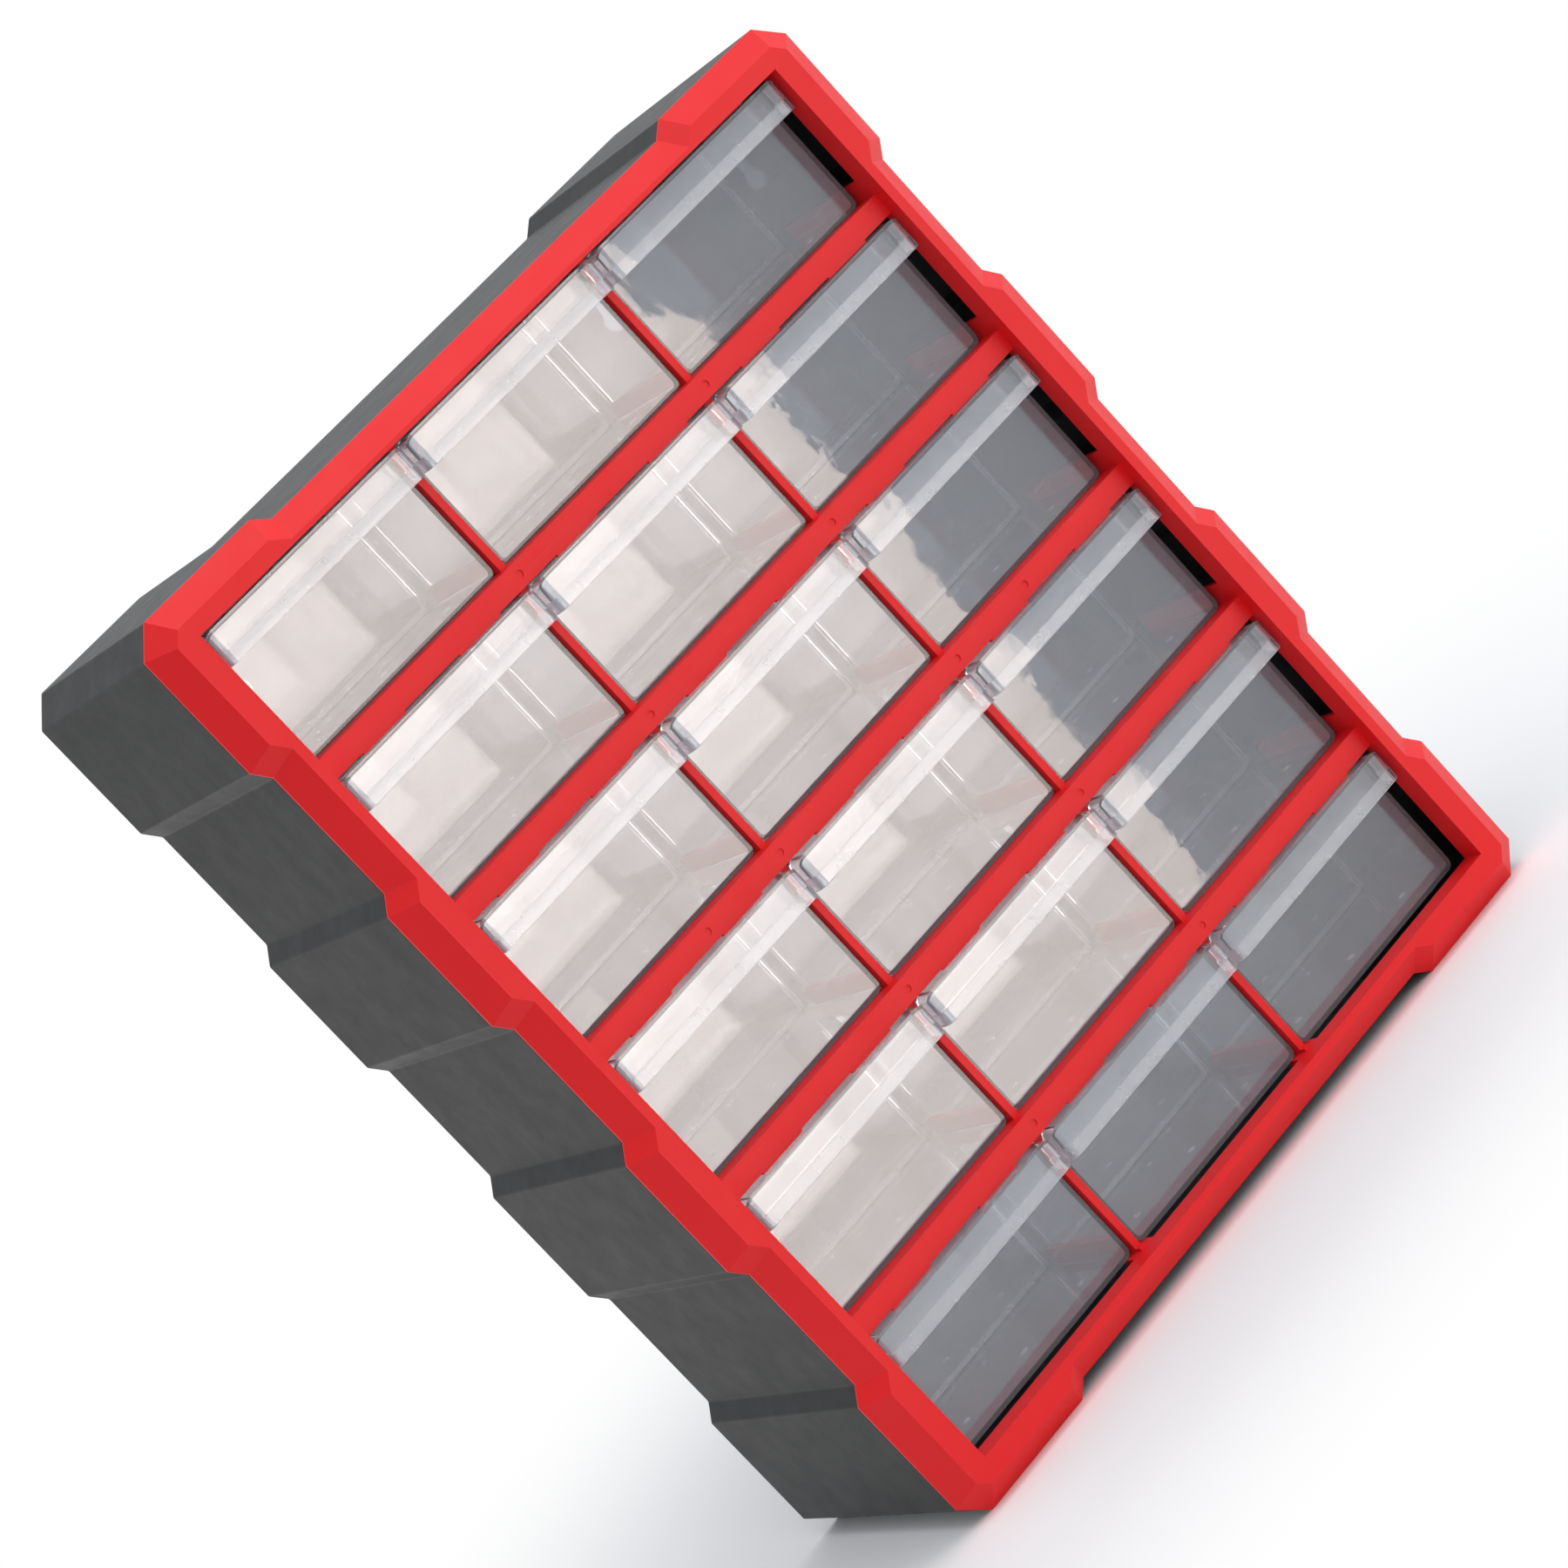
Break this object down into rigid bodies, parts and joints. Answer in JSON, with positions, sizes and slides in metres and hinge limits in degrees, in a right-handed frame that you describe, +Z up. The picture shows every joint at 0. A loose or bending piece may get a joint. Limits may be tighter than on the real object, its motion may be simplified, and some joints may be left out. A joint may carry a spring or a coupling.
{
  "type": "small parts drawer cabinet",
  "caption": "Upright small-parts cabinet: dark moulded housing, red front frame and clear slide-out drawers with lift-out cross dividers.",
  "frame": {"origin": "centre of the base, at the lowest point", "axes": "+Z up, the drawers open towards -Y, +X to the viewer's right when facing the drawers"},
  "size_m": [0.384, 0.155, 0.475],
  "materials": {
    "housing_plastic": "dark charcoal moulded plastic, satin",
    "frame_plastic": "bright red moulded plastic, satin",
    "drawer_plastic": "clear moulded plastic, polished"
  },
  "bodies": {
    "cabinet": {"housing": "housing_plastic", "frame_rim_top": "frame_plastic", "frame_rim_bottom": "frame_plastic", "frame_rim_left": "frame_plastic", "frame_rim_right": "frame_plastic", "shelf_bar_1": "frame_plastic", "shelf_bar_2": "frame_plastic", "shelf_bar_3": "frame_plastic", "shelf_bar_4": "frame_plastic", "shelf_bar_5": "frame_plastic", "column_fin_1": "frame_plastic", "column_fin_2": "frame_plastic"},
    "drawer_r1_c1": {"drawer_r1_c1": "drawer_plastic", "divider_r1_c1": "drawer_plastic"},
    "drawer_r1_c2": {"drawer_r1_c2": "drawer_plastic", "divider_r1_c2": "drawer_plastic"},
    "drawer_r1_c3": {"drawer_r1_c3": "drawer_plastic", "divider_r1_c3": "drawer_plastic"},
    "drawer_r2_c1": {"drawer_r2_c1": "drawer_plastic", "divider_r2_c1": "drawer_plastic"},
    "drawer_r2_c2": {"drawer_r2_c2": "drawer_plastic", "divider_r2_c2": "drawer_plastic"},
    "drawer_r2_c3": {"drawer_r2_c3": "drawer_plastic", "divider_r2_c3": "drawer_plastic"},
    "drawer_r3_c1": {"drawer_r3_c1": "drawer_plastic", "divider_r3_c1": "drawer_plastic"},
    "drawer_r3_c2": {"drawer_r3_c2": "drawer_plastic", "divider_r3_c2": "drawer_plastic"},
    "drawer_r3_c3": {"drawer_r3_c3": "drawer_plastic", "divider_r3_c3": "drawer_plastic"},
    "drawer_r4_c1": {"drawer_r4_c1": "drawer_plastic", "divider_r4_c1": "drawer_plastic"},
    "drawer_r4_c2": {"drawer_r4_c2": "drawer_plastic", "divider_r4_c2": "drawer_plastic"},
    "drawer_r4_c3": {"drawer_r4_c3": "drawer_plastic", "divider_r4_c3": "drawer_plastic"},
    "drawer_r5_c1": {"drawer_r5_c1": "drawer_plastic", "divider_r5_c1": "drawer_plastic"},
    "drawer_r5_c2": {"drawer_r5_c2": "drawer_plastic", "divider_r5_c2": "drawer_plastic"},
    "drawer_r5_c3": {"drawer_r5_c3": "drawer_plastic", "divider_r5_c3": "drawer_plastic"},
    "drawer_r6_c1": {"drawer_r6_c1": "drawer_plastic", "divider_r6_c1": "drawer_plastic"},
    "drawer_r6_c2": {"drawer_r6_c2": "drawer_plastic", "divider_r6_c2": "drawer_plastic"},
    "drawer_r6_c3": {"drawer_r6_c3": "drawer_plastic", "divider_r6_c3": "drawer_plastic"}
  },
  "joints": [
    {"name": "drawer_r1_c1_slide", "type": "slide", "parent": "cabinet", "child": "drawer_r1_c1", "axis": [0, -1, 0], "range_m": [0, 0.124]},
    {"name": "drawer_r1_c2_slide", "type": "slide", "parent": "cabinet", "child": "drawer_r1_c2", "axis": [0, -1, 0], "range_m": [0, 0.124]},
    {"name": "drawer_r1_c3_slide", "type": "slide", "parent": "cabinet", "child": "drawer_r1_c3", "axis": [0, -1, 0], "range_m": [0, 0.124]},
    {"name": "drawer_r2_c1_slide", "type": "slide", "parent": "cabinet", "child": "drawer_r2_c1", "axis": [0, -1, 0], "range_m": [0, 0.124]},
    {"name": "drawer_r2_c2_slide", "type": "slide", "parent": "cabinet", "child": "drawer_r2_c2", "axis": [0, -1, 0], "range_m": [0, 0.124]},
    {"name": "drawer_r2_c3_slide", "type": "slide", "parent": "cabinet", "child": "drawer_r2_c3", "axis": [0, -1, 0], "range_m": [0, 0.124]},
    {"name": "drawer_r3_c1_slide", "type": "slide", "parent": "cabinet", "child": "drawer_r3_c1", "axis": [0, -1, 0], "range_m": [0, 0.124]},
    {"name": "drawer_r3_c2_slide", "type": "slide", "parent": "cabinet", "child": "drawer_r3_c2", "axis": [0, -1, 0], "range_m": [0, 0.124]},
    {"name": "drawer_r3_c3_slide", "type": "slide", "parent": "cabinet", "child": "drawer_r3_c3", "axis": [0, -1, 0], "range_m": [0, 0.124]},
    {"name": "drawer_r4_c1_slide", "type": "slide", "parent": "cabinet", "child": "drawer_r4_c1", "axis": [0, -1, 0], "range_m": [0, 0.124]},
    {"name": "drawer_r4_c2_slide", "type": "slide", "parent": "cabinet", "child": "drawer_r4_c2", "axis": [0, -1, 0], "range_m": [0, 0.124]},
    {"name": "drawer_r4_c3_slide", "type": "slide", "parent": "cabinet", "child": "drawer_r4_c3", "axis": [0, -1, 0], "range_m": [0, 0.124]},
    {"name": "drawer_r5_c1_slide", "type": "slide", "parent": "cabinet", "child": "drawer_r5_c1", "axis": [0, -1, 0], "range_m": [0, 0.124]},
    {"name": "drawer_r5_c2_slide", "type": "slide", "parent": "cabinet", "child": "drawer_r5_c2", "axis": [0, -1, 0], "range_m": [0, 0.124]},
    {"name": "drawer_r5_c3_slide", "type": "slide", "parent": "cabinet", "child": "drawer_r5_c3", "axis": [0, -1, 0], "range_m": [0, 0.124]},
    {"name": "drawer_r6_c1_slide", "type": "slide", "parent": "cabinet", "child": "drawer_r6_c1", "axis": [0, -1, 0], "range_m": [0, 0.124]},
    {"name": "drawer_r6_c2_slide", "type": "slide", "parent": "cabinet", "child": "drawer_r6_c2", "axis": [0, -1, 0], "range_m": [0, 0.124]},
    {"name": "drawer_r6_c3_slide", "type": "slide", "parent": "cabinet", "child": "drawer_r6_c3", "axis": [0, -1, 0], "range_m": [0, 0.124]}
  ]
}
